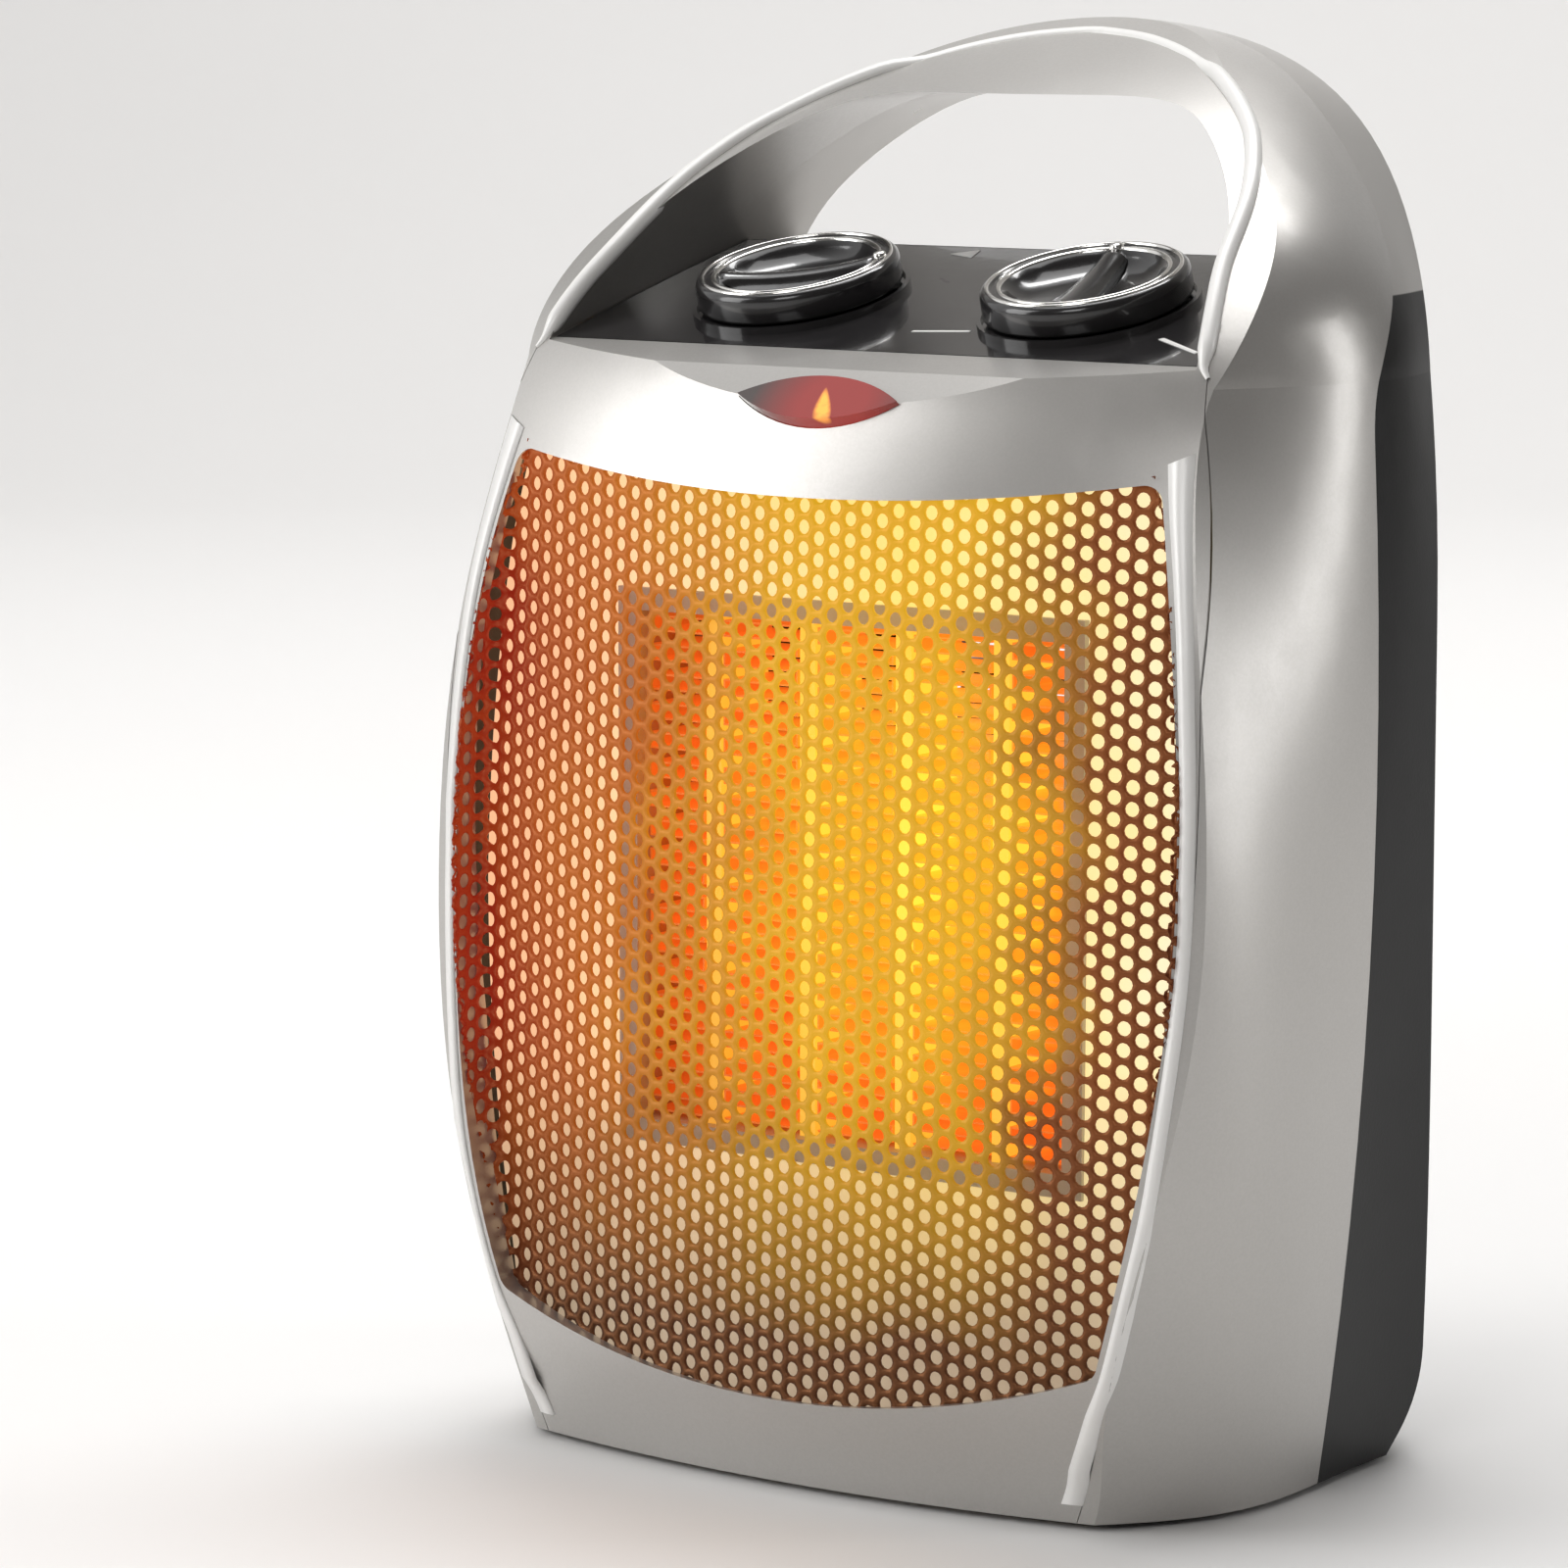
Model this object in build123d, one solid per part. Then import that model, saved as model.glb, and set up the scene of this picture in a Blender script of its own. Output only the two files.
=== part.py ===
from build123d import *
import math
import os

# Ceramic space heater with a carry handle arched over a sloping control deck.
# Millimetres, +Z up, front faces -Y.  The origin is on the floor under the middle of the body.
# Distances written "from the front" are measured back from the foremost point of the body.

# ---------------------------------------------------------------- overall sizes
depth = 126.0              # foremost point of the lower panel to the back wall
height = 249.0             # floor to the top of the handle
belly_half_width = 84.0    # widest half width of the body
wall = 2.4                 # moulded wall of both shells
foot_lift = 1.2            # gap between the shells and the floor
seat_gap = 0.3             # gap between pieces that drop into each other

# ---------------------------------------------------------------- outer form
belly_height = 105.0       # height of the widest line
shoulder_height = 190.0    # height where the sides turn over into the handle arch
front_radius = 272.0       # plan radius of the bowed front
back_radius = 96.0         # plan radius of the rounded back
seam = 56.3                # from the front to the joint line of the two shells
seam_sweep_height = 180.0  # above this the joint line follows the handle backwards

# ---------------------------------------------------------------- front bezel and grille
window_bottom = 16.5       # lowest point of the grille window, on the centre line
window_top = 170.0
window_corner_rise = 11.0  # how far the window's bottom corners stand above its middle
window_corner_lift = 5.0   # the same for the top corners
window_half_bottom = 62.0
window_half_belly = 74.7
window_half_top = 66.0
stripe = 2.7               # width of the bevelled stripe beside the window
bezel_wall = 2.2
window_return = 1.6        # wall that runs back from the window edge
grille_radius = 272.0
grille_sheet = 0.8
grille_lean = 3.1          # degrees that the grille leans back
grille_setback = 5.2       # from the front to the grille's face, at mid height
grille_margin = 2.0        # sheet hidden behind the bezel

# ---------------------------------------------------------------- control deck
deck_slope = 16.0          # degrees, rising towards the back
deck_front = 27.3          # from the front
deck_back = 80.3
deck_centre = 50.9         # from the front to the line of the knobs
deck_height = 200.2        # height of the deck on that line
deck_plate = 2.6
knob_half_spacing = 30.0
knob_radius = 18.2
knob_height = 5.0
knob_lift = 0.5            # gap under a knob
collar_radius = 19.4
collar_height = 1.2
knob_ring = 1.3            # width of the plated ring
shaft_radius = 3.0
running_gap = 0.05         # radial, for turning shafts and sliding rods

# ---------------------------------------------------------------- handle opening
opening_half_width = 67.5  # at the deck
opening_floor = 188.0
opening_shoulder = 216.0   # height where its sides have come in by opening_lean
opening_lean = 8.5
opening_haunch = 24.5      # where the sides turn into the top, in from the side
opening_crown = 5.5        # and below the top
opening_top = 236.0
roof_fall = 9.0            # drop of the roof behind the deck, out to the back wall

# ---------------------------------------------------------------- heater, fan and motor
core_height = 102.0        # height of the heater, fan and motor axis
heater_front = 21.5
heater_depth = 20.0
heater_width = 97.0
heater_tall = 98.0
heater_rim = 4.0
bar_pitch = 20.0
bar_width = 3.2
bar_depth = 14.0
fin_pitch = 5.0
fin_sheet = 0.35
duct_wall = 2.0
duct_front = 35.0
baffle = 2.0
baffle_low = 22.0
baffle_high = 171.0
shroud_radius = 50.5
shroud_back = 80.0
fan_radius = 46.0
fan_front = 61.0
fan_depth = 15.0
hub_radius = 14.0
blades = 7
axle_radius = 2.0
stator_width = 56.0
stator_tall = 58.0
stator_front = 87.0
stator_stack = 16.0
rotor_radius = 11.0
air_gap = 0.5
bracket = 1.6
bearing_radius = 5.0
bearing_length = 6.0

# ---------------------------------------------------------------- base, feet and tip-over switch
base_height = 2.6          # underside of the base plate
base_plate_thick = 2.6
foot_radius = 6.5
foot_spread = 48.0
plunger_radius = 5.0
plunger_from_front = 72.0
plunger_side = 38.0
plunger_stem = 2.0
guide_wall = 1.6
guide_height = 16.0

# ---------------------------------------------------------------- screws
post_side = 69.0
post_low = 32.0
post_high = 168.0
post_radius = 4.6
screw_radius = 1.5
screw_head = 3.0
screw_seat = 22.5          # from the joint line back to the screw heads
cord_hole_radius = 6.0
cord_hole_side = 40.0
cord_hole_height = 28.0

front_y = -depth / 2


def at(distance):
    """Y of a place given by its distance from the front."""
    return front_y + distance


def upright(distance):
    """Plane facing forwards, with X across and Z up."""
    return Plane(origin=(0, at(distance), 0), x_dir=(1, 0, 0), z_dir=(0, -1, 0))


def block(x0, x1, d0, d1, z0, z1):
    """Box between two sides, two distances from the front and two heights."""
    middle = ((x0 + x1) / 2, (at(d0) + at(d1)) / 2, (z0 + z1) / 2)
    return Pos(*middle) * Box(abs(x1 - x0), abs(d1 - d0), abs(z1 - z0))


def rod(radius, d0, d1, x=0.0, z=core_height):
    """Round bar running from front to back."""
    turn = Pos(x, (at(d0) + at(d1)) / 2, z) * Rot(90, 0, 0)
    return turn * Cylinder(radius, abs(d1 - d0))


def post(radius, x, distance, z0, z1):
    """Round bar standing up."""
    return Pos(x, at(distance), (z0 + z1) / 2) * Cylinder(radius, z1 - z0)


# Front-view outlines of the body at stations behind the front.  Each row gives the distance from
# the front, then the half width at the floor, belly and shoulder, then the rise of the arch
# above the shoulder, each as a difference from the widest outline.
stations = [
    (-6.0, 28.0, 12.0, 25.0, 46.0),
    (8.0, 18.0, 5.0, 20.0, 39.0),
    (23.0, 5.5, 1.6, 12.8, 27.0),
    (56.3, 0.0, 0.0, 0.0, 12.0),
    (83.0, 0.5, 0.3, 4.5, 3.0),
    (108.0, 0.5, 1.0, 10.0, 0.2),
    (130.0, 1.5, 2.0, 14.0, 3.0),
]
floor_half_width = belly_half_width - 9.6
shoulder_half_width = belly_half_width - 1.5
arch_rise = height - shoulder_height


def outline(station, inset):
    """Front-view outline of the body at one station."""
    distance, floor_in, belly_in, shoulder_in, arch_in = station
    low = floor_half_width - floor_in - inset
    mid = belly_half_width - belly_in - inset
    top = shoulder_half_width - shoulder_in - inset
    rise = arch_rise - arch_in - inset
    floor_z = foot_lift if inset == 0 else foot_lift - 3.0
    side = ThreePointArc((low, floor_z), (mid, belly_height), (top, shoulder_height))
    arch = EllipticalCenterArc((0, shoulder_height), top, rise, start_angle=0, arc_size=180)
    other = ThreePointArc((-top, shoulder_height), (-mid, belly_height), (-low, floor_z))
    base = Line((-low, floor_z), (low, floor_z))
    return upright(distance) * make_face(Curve() + [side, arch, other, base])


def barrel(inset):
    return loft([outline(station, inset) for station in stations], ruled=False)


def swept_front(inset):
    """Everything behind the bowed front, as a turned solid; its outline is the side view."""
    push = inset * 1.2
    points = [
        (4.0, -8.0),
        (4.0, 0.0),
        (0.0, window_bottom),
        (-2.5, 95.0),
        (3.2, 155.0),
        (7.0, window_top),
        (16.3, 192.0),
        (41.0, 216.0),
        (69.0, 234.0),
        (98.5, height - 2.0),
        (118.0, height + 4.0),
    ]
    shifted = [(at(d + push), z) for d, z in points]
    axis_y = at(front_radius)
    face = Plane.YZ * make_face(
        Curve()
        + [
            Spline(shifted),
            Polyline(shifted[-1], (axis_y, shifted[-1][1]), (axis_y, shifted[0][1]), shifted[0]),
        ]
    )
    spread = 24.0
    turned = revolve(face, Axis((0, axis_y, 0), (0, 0, 1)), 2 * spread)
    return Pos(0, axis_y, 0) * Rot(0, 0, -spread) * Pos(0, -axis_y, 0) * turned


def rounded_back(inset):
    """Everything in front of the rounded back."""
    axis_d = depth - back_radius
    axis_y = at(axis_d)
    back = at(depth - inset)
    low, high = -4.0, height + 4.0
    face = Plane.YZ * make_face(
        Curve()
        + [
            Spline((back - 9.0, low), (back - 4.0, 5.0), (back, 20.0), tangents=[(0.3, 1), (0, 1)]),
            Line((back, 20.0), (back, 150.0)),
            Spline((back, 150.0), (back - 3.0, 210.0), (back - 16.0, high), tangents=[(0, 1), (-1, 1)]),
            Polyline((back - 16.0, high), (axis_y, high), (axis_y, low), (back - 9.0, low)),
        ]
    )
    turned = revolve(face, Axis((0, axis_y, 0), (0, 0, 1)), 180)
    turned = Pos(0, axis_y, 0) * Rot(0, 0, -90) * Pos(0, -axis_y, 0) * turned
    reach = back_radius + 1
    return turned + block(-reach, reach, -12, axis_d + 0.01, -4.0, height + 4.0)


def envelope(inset):
    return barrel(inset) & swept_front(inset) & rounded_back(inset)


body = envelope(0)
hollow = envelope(wall)


def prism(face_2d, d0, d1):
    """Front-view face carried from one distance to another."""
    return extrude(upright(d1) * face_2d, at(d1) - at(d0))


def window_outline(grow=0.0):
    """Grille window: bowed sides and two sagging edges."""
    low = window_half_bottom + grow
    mid = window_half_belly + grow
    top = window_half_top + grow
    corner_low = window_bottom + window_corner_rise - grow
    corner_top = window_top + window_corner_lift + grow
    edges = [
        ThreePointArc((low, corner_low), (mid, belly_height), (top, corner_top)),
        ThreePointArc((top, corner_top), (0, window_top + grow), (-top, corner_top)),
        ThreePointArc((-top, corner_top), (-mid, belly_height), (-low, corner_low)),
        ThreePointArc((-low, corner_low), (0, window_bottom - grow), (low, corner_low)),
    ]
    return fillet(make_face(Curve() + edges).vertices(), 3.5)


def bezel_outline(grow=0.0):
    """Outline of the bezel, along the outer edge of its stripes, with a flat foot and top."""
    low = window_half_bottom - 6.4 + grow
    mid = window_half_belly + stripe + grow
    top = window_half_top - 0.5 + grow
    crown = deck_height + 6
    edges = [
        ThreePointArc((low, foot_lift), (mid, belly_height), (top, crown)),
        Line((top, crown), (-top, crown)),
        ThreePointArc((-top, crown), (-mid, belly_height), (-low, foot_lift)),
        Line((-low, foot_lift), (low, foot_lift)),
    ]
    return make_face(Curve() + edges)


def opening_outline(grow=0.0):
    """Arch-shaped handle opening."""
    half = opening_half_width + grow
    top = opening_top + grow
    low = opening_floor - 12
    right = Spline(
        (half, opening_floor),
        (half - opening_lean, opening_shoulder),
        (half - opening_haunch, top - opening_crown),
        (0, top),
        tangents=[(-0.1, 1), (-1, 0)],
    )
    foot = Polyline((-half, opening_floor), (-half, low), (half, low), (half, opening_floor))
    return make_face(Curve() + [right, mirror(right, Plane.YZ), foot])


deck_plane = Plane(
    origin=(0, at(deck_centre), deck_height),
    x_dir=(1, 0, 0),
    z_dir=(0, -math.sin(math.radians(deck_slope)), math.cos(math.radians(deck_slope))),
)
slope_run = math.cos(math.radians(deck_slope))


def deck_slab(low, high, d0, d1, half_width):
    """Slab parallel to the deck, between two levels measured from its surface."""
    y0 = (d0 - deck_centre) / slope_run
    y1 = (d1 - deck_centre) / slope_run
    centre = Pos(0, (y0 + y1) / 2, (low + high) / 2)
    return deck_plane * (centre * Box(2 * half_width, y1 - y0, high - low))


# Side-view region in front of the joint line between the two shells.
seam_line = [Line((at(seam), -10), (at(seam), seam_sweep_height))]
seam_line.append(
    Spline(
        (at(seam), seam_sweep_height),
        (at(seam + 14), 205),
        (at(seam + 37), 234),
        (at(seam + 60), height + 6),
        tangents=[(0, 1), (1, 0.8)],
    )
)
seam_end = at(seam + 60)
front_side = Plane.YZ * make_face(
    Curve()
    + seam_line
    + [Polyline((seam_end, height + 6), (at(-15), height + 6), (at(-15), -10), (at(seam), -10))]
)
front_region = extrude(front_side, 100, both=True)


# The opening is closed below by the deck, and behind the deck by a roof that falls to the back wall.
tilt = math.tan(math.radians(deck_slope))
ridge = deck_height + (deck_back - deck_centre) * tilt


def above_deck(drop):
    """Everything higher than the deck and the roof, both lowered by this much."""
    front, rear = -15.0, depth + 20.0
    low = ridge - (deck_back - front) * tilt - drop
    fallen = ridge - roof_fall * (rear - deck_back) / (depth - deck_back) - drop
    side = Polyline(
        (at(front), low),
        (at(deck_back), ridge - drop),
        (at(rear), fallen),
        (at(rear), height + 20),
        (at(front), height + 20),
        close=True,
    )
    return extrude(Plane.YZ * make_face(side), belly_half_width + 10, both=True)


opening = prism(opening_outline(), -15, depth + 15) & above_deck(0)
opening_sleeve = prism(opening_outline(wall), -15, depth + 15) & above_deck(wall)
deck_seat = prism(opening_outline(), -15, deck_back + 4) & deck_slab(-10, 1, -30, deck_back, 90)
skin = body - (hollow - opening_sleeve) - opening - deck_seat

posts = [(side * post_side, level) for side in (-1, 1) for level in (post_low, post_high)]


deck_underside = deck_slab(-300, 0, -120, depth + 60, 90)


def front_shell():
    shell = skin & front_region
    shell -= prism(bezel_outline(seat_gap / 2), -12, seam - 18) & deck_underside
    for x, z in posts:
        rib = block(x, x * 1.3, seam - 20, seam, z - 1.2, z + 1.2)
        shell += (rod(post_radius, seam - 20, seam, x, z) + rib) & hollow
        shell -= rod(screw_radius - 0.2, seam - 14, seam + 1, x, z)
    return keep_largest(shell)


def keep_largest(shape):
    """Drops slivers left where two curved skins meet at a shallow angle."""
    return max(shape.solids(), key=lambda solid: solid.volume)


def cord_rod(radius, near, far):
    """Round bar through the back wall at the cord hole, between two distances from the back's own axis."""
    turn = math.degrees(math.asin(cord_hole_side / back_radius))
    bar = Pos(0, (near + far) / 2, 0) * Rot(90, 0, 0) * Cylinder(radius, far - near)
    return Pos(0, at(depth - back_radius), cord_hole_height) * Rot(0, 0, -turn) * bar


louvre_rows = 17
louvre_pitch = 7.0
louvre_height = 3.2
louvre_low = 46.0
louvre_width = 26.0


def rear_shell():
    shell = skin - front_region
    lip = deck_slab(-deck_plate - 2.2, -deck_plate, deck_back - 4, deck_back + 2, opening_half_width - 8)
    shell += lip & hollow
    for x, z in posts:
        shell += rod(post_radius, seam, depth, x, z) & body
        shell -= rod(screw_radius + 0.2, seam - 1, depth, x, z)
        shell -= rod(screw_head + 0.3, seam + screw_seat, depth, x, z)
    slots = [
        block(x - louvre_width / 2, x + louvre_width / 2, depth - 30, depth + 5, z, z + louvre_height)
        for x in (-louvre_width - 5, 0, louvre_width + 5)
        for z in [louvre_low + row * louvre_pitch for row in range(louvre_rows)]
    ]
    shell -= Part() + slots
    shell -= cord_rod(cord_hole_radius, back_radius - 20, back_radius + 5)
    return keep_largest(shell)


def scoop():
    """Flat facet that takes the indicator, cut across the top of the bezel."""
    facet = Plane(origin=(0, at(9.6), 182.4), x_dir=(1, 0, 0), z_dir=(0, -0.69, 0.72))
    return facet * (Pos(0, 0, 15) * Box(76, 60, 30))


def lens_outline(half_length, half_height):
    up = ThreePointArc((-half_length, 0), (0, half_height), (half_length, 0))
    down = ThreePointArc((half_length, 0), (0, -half_height), (-half_length, 0))
    return make_face(Curve() + [up, down])


lens_plane = Plane(origin=(0, at(13.2), 186.2), x_dir=(1, 0, 0), z_dir=(0, -0.69, 0.72))
lens_half_length = 16.6
lens_half_height = 5.0


def front_bezel():
    solid_front = swept_front(0) & prism(bezel_outline(), -12, deck_front)
    shape = solid_front & deck_underside & body
    facet = scoop()
    shape -= facet
    inner = swept_front(bezel_wall) & deck_slab(-300, -bezel_wall, -120, depth + 60, 90)
    inner &= block(-90, 90, -12, deck_front + 1, -5, 260)
    inner -= Pos(0, 0.69 * bezel_wall, -0.72 * bezel_wall) * facet
    shell = shape - inner
    collar = prism(window_outline(window_return), -12, 14) & swept_front(0) & swept_grille_front()
    shell += collar & shape
    shell -= prism(window_outline(), -12, 30)
    shell -= prism(window_outline(grille_margin + 0.3), -12, 30) - swept_grille_front()
    shell -= extrude(lens_plane * lens_outline(lens_half_length, lens_half_height), 12, both=True)
    return keep_largest(shell)


def leaned(solid):
    """Tips a front piece back with the grille, about its middle height."""
    pivot = Pos(0, at(grille_setback), 93.5)
    return pivot * Rot(-grille_lean, 0, 0) * pivot.inverse() * solid


def swept_grille_front():
    """Everything in front of the grille's face."""
    tall = 260
    drum = Pos(0, at(grille_setback + grille_radius), 93.5) * Cylinder(grille_radius, tall)
    return block(-95, 95, -25, 40, -40, 240) - leaned(drum)


def front_grille():
    outer = Pos(0, at(grille_setback + grille_radius), 93.5) * Cylinder(grille_radius - 0.05, 260)
    inner = Pos(0, at(grille_setback + grille_radius), 93.5) * Cylinder(grille_radius - grille_sheet, 262)
    sheet = leaned(outer - inner)
    return keep_largest(sheet & prism(window_outline(grille_margin), -12, 30))


def indicator_lens():
    face = lens_plane * lens_outline(lens_half_length - 0.15, lens_half_height - 0.15)
    return extrude(face, -bezel_wall) + extrude(face, 0.5)


def indicator_lamp():
    bulb = Pos(0, 0, -9) * Rot(0, 90, 0) * Cylinder(2.6, 11)
    return lens_plane * bulb


def lamp_holder():
    cup = Pos(0, 0, -9.5) * Box(17, 9, 9) - Pos(0, 0, -8.5) * Box(12.4, 6.4, 11)
    return lens_plane * cup


knobs = {"thermostat": -knob_half_spacing, "mode": knob_half_spacing}


def on_deck(x, solid):
    return deck_plane * (Pos(x, 0, 0) * solid)


def control_deck():
    plate = deck_slab(-deck_plate, 0, deck_front + seat_gap, deck_back - seat_gap, 90)
    plate &= prism(opening_outline(-seat_gap), -15, depth)
    ribs = deck_slab(-deck_plate - 5, -deck_plate, deck_front + 3, deck_back - 4.5, 58.0)
    ribs -= deck_slab(-deck_plate - 6, 0, deck_front + 4.6, deck_back - 6.1, 56.4)
    shape = plate + ribs
    for x in knobs.values():
        shape += on_deck(x, Pos(0, 0, collar_height / 2) * Cylinder(collar_radius, collar_height))
        shape -= on_deck(x, Pos(0, 0, 1) * Cylinder(knob_radius + 0.4, 1.2))
        shape -= on_deck(x, Cylinder(shaft_radius + 1.5, 30))
    return shape


def knob_body(x, bar_turn):
    base = collar_height / 2 + knob_lift
    drum = Pos(0, 0, base + knob_height / 2) * Cylinder(knob_radius, knob_height)
    ring_seat = Cylinder(knob_radius, 2) - Cylinder(knob_radius - knob_ring - 0.05, 2)
    drum -= Pos(0, 0, base + knob_height) * ring_seat
    dish = Pos(0, 0, base + knob_height + 14.5) * Sphere(18.4)
    drum -= dish
    bar = Pos(0, 0, base + 1.2) * extrude(lens_outline(knob_radius - knob_ring - 0.4, 4.4), knob_height - 1.5)
    drum += Rot(0, 0, bar_turn) * bar
    drum -= Pos(0, 0, base + 0.9) * Cylinder(shaft_radius + 0.01, 1.9)
    return on_deck(x, drum)


def knob_trim(x):
    base = collar_height / 2 + knob_lift
    ring = Cylinder(knob_radius - 0.02, 1.2) - Cylinder(knob_radius - knob_ring, 1.2)
    return on_deck(x, Pos(0, 0, base + knob_height - 0.35) * ring)


control_depth = 17.0


def control_shaft(x):
    low = -deck_plate - 7.0
    top = collar_height / 2 + knob_lift + 1.85
    return on_deck(x, Pos(0, 0, (low + top) / 2) * Cylinder(shaft_radius, top - low))


def control_body(x, wide, long):
    box = Pos(0, 0, -deck_plate - 0.2 - control_depth / 2) * Box(wide, long, control_depth)
    neck = Pos(0, 0, -deck_plate + 0.4) * Cylinder(shaft_radius + 1.4, 2.4)
    bore = Pos(0, 0, -deck_plate - 2) * Cylinder(shaft_radius + running_gap, 10.2)
    return on_deck(x, box + neck - bore)


def frame_box(width, tall, d0, d1, thick):
    outer = block(-width / 2, width / 2, d0, d1, core_height - tall / 2, core_height + tall / 2)
    w = width / 2 - thick
    t = tall / 2 - thick
    return outer - block(-w, w, d0 - 1, d1 + 1, core_height - t, core_height + t)


def heater_frame():
    return frame_box(heater_width, heater_tall, heater_front, heater_front + heater_depth, heater_rim)


bar_middle = heater_front + heater_depth / 2
bar_tall = heater_tall - 2 * heater_rim
bar_places = [(index - 1.5) * bar_pitch for index in range(4)]


def ceramic_bars():
    d0 = bar_middle - bar_depth / 2
    half = bar_width / 2
    low, high = core_height - bar_tall / 2, core_height + bar_tall / 2
    return Part() + [block(x - half, x + half, d0, d0 + bar_depth, low, high) for x in bar_places]


def folded_strip(x0, x1):
    """One strip folded to and fro between two uprights."""
    folds = 2 * int((bar_tall - 2) / fin_pitch)
    rise = (bar_tall - 2 - fin_sheet) / folds
    start = core_height - bar_tall / 2 + 1
    under, over = [], []
    for fold in range(folds + 1):
        z = start + fold * rise
        if fold % 2 == 0:
            under += [(x0 + fin_sheet, z), (x1, z)]
            over += [(x0, z + fin_sheet), (x1 - fin_sheet, z + fin_sheet)]
        else:
            under += [(x1, z + fin_sheet), (x0 + fin_sheet, z + fin_sheet)]
            over += [(x1 - fin_sheet, z), (x0, z)]
    strip = make_face(Polyline(*under, *reversed(over), close=True))
    return prism(strip, bar_middle - bar_depth / 2, bar_middle + bar_depth / 2)


def heating_fins():
    inner = heater_width / 2 - heater_rim - 0.6
    gap = bar_width / 2 + 0.5
    edges = [-inner] + [x + side * gap for x in bar_places for side in (-1, 1)] + [inner]
    return Part() + [folded_strip(edges[i], edges[i + 1]) for i in range(0, len(edges), 2)]


def element_terminals():
    top = core_height + heater_tall / 2
    tabs = [
        block(x - 3, x + 3, bar_middle - 0.4, bar_middle + 0.4, top, top + 9)
        for x in (bar_places[0], bar_places[1], bar_places[3])
    ]
    return Part() + tabs


def air_duct():
    gap = seat_gap
    outer_w = heater_width + 2 * (gap + duct_wall)
    outer_t = heater_tall + 2 * (gap + duct_wall)
    shape = frame_box(outer_w, outer_t, duct_front, seam, duct_wall)
    stop = heater_front + heater_depth
    shape += frame_box(outer_w, outer_t, stop + 0.2, stop + 2.2, duct_wall + gap + heater_rim)
    plate = envelope(wall + 0.6) & block(-90, 90, seam, seam + baffle, baffle_low, baffle_high)
    plate += rod(shroud_radius + 2, seam, shroud_back)
    plate -= rod(shroud_radius, seam - 1, shroud_back + 1)
    for x, z in posts:
        plate -= rod(post_radius + 0.6, seam - 1, seam + 4, x, z)
    for x in (-shroud_radius - 4, shroud_radius + 4):
        ear = rod(4.5, shroud_back - 12, shroud_back, x)
        plate += ear - rod(shroud_radius, seam - 1, shroud_back + 1)
        plate -= rod(1.3, shroud_back - 9, shroud_back + 1, x)
    return shape + plate


def fan_impeller():
    hub = rod(hub_radius, fan_front, fan_front + fan_depth)
    blade_foot = (hub_radius - 1, at(fan_front + fan_depth / 2), core_height)
    blade_plane = Plane(origin=blade_foot, x_dir=(0, 1, 0), z_dir=(1, 0, 0))
    root = Rot(0, 0, 42) * RectangleRounded(fan_depth * 0.94, 1.8, 0.85)
    tip = Rot(0, 0, 24) * RectangleRounded(fan_depth * 0.9, 1.2, 0.55)
    blade = loft([blade_plane * root, blade_plane.offset(fan_radius - hub_radius) * tip])
    shape = hub
    for index in range(blades):
        shape += blade.rotate(Axis((0, 0, core_height), (0, 1, 0)), index * 360 / blades)
    shape &= rod(fan_radius, fan_front - 1, fan_front + fan_depth + 1)
    return shape - rod(axle_radius, fan_front + 3, fan_front + fan_depth + 1)


axle_back = stator_front + stator_stack + 14


def motor_shaft():
    return rod(axle_radius, fan_front + 3, axle_back)


def motor_rotor():
    drum = rod(rotor_radius, stator_front - 0.5, stator_front + stator_stack + 0.5)
    return drum - rod(axle_radius, stator_front - 2, stator_front + stator_stack + 2)


coil_drop = 17.0


def motor_stator():
    half = stator_width / 2
    back = stator_front + stator_stack
    top = core_height + 20
    low = top - stator_tall
    shape = block(-half, half, stator_front, back, low, top)
    shape -= rod(rotor_radius + air_gap, stator_front - 1, back + 1)
    slot_top = core_height - coil_drop + 3
    for side in (-1, 1):
        slot_x = side * (half - 14)
        shape -= block(slot_x - 6, slot_x + 6, stator_front - 1, back + 1, low + 9, slot_top)
        shape -= rod(2.2, stator_front - 1, back + 1, side * (half - 5), top - 5)
    return shape


def motor_coil():
    low = core_height + 20 - stator_tall + 9.4
    top = core_height - coil_drop + 2.6
    half = stator_width / 2 - 8.6
    core = stator_width / 2 - 20
    outer = block(-half, half, stator_front - 5, stator_front + stator_stack + 5, low, top)
    return outer - block(-core, core, stator_front, stator_front + stator_stack, low - 1, top + 1)


def motor_bracket(d0, half_length):
    arm = block(-half_length, half_length, d0, d0 + bracket, core_height - 7, core_height + 7)
    arm += rod(bearing_radius + 1.5, d0 - 1.5, d0 + bracket + 1.5)
    arm += block(-half_length * 0.5, half_length * 0.5, d0, d0 + bracket, core_height - 7, core_height + 19)
    arm -= rod(bearing_radius, d0 - 4, d0 + bracket + 4)
    for side in (-1, 1):
        arm -= rod(2.2, d0 - 1, d0 + bracket + 1, side * (stator_width / 2 - 5), core_height + 15)
    return arm


front_bracket_at = shroud_back
rear_bracket_at = stator_front + stator_stack + 6


def motor_front_bracket():
    arm = motor_bracket(front_bracket_at, shroud_radius + 8)
    for side in (-1, 1):
        arm -= rod(1.6, front_bracket_at - 1, front_bracket_at + 4, side * (shroud_radius + 4))
    return arm


def motor_rear_bracket():
    return motor_bracket(rear_bracket_at, stator_width / 2)


def motor_bearings():
    bushes = Part()
    for place in (front_bracket_at, rear_bracket_at):
        middle = place + bracket / 2
        bush = rod(bearing_radius, middle - bearing_length / 2, middle + bearing_length / 2)
        bushes += bush - rod(axle_radius + running_gap, middle - 5, middle + 5)
    return bushes


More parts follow.
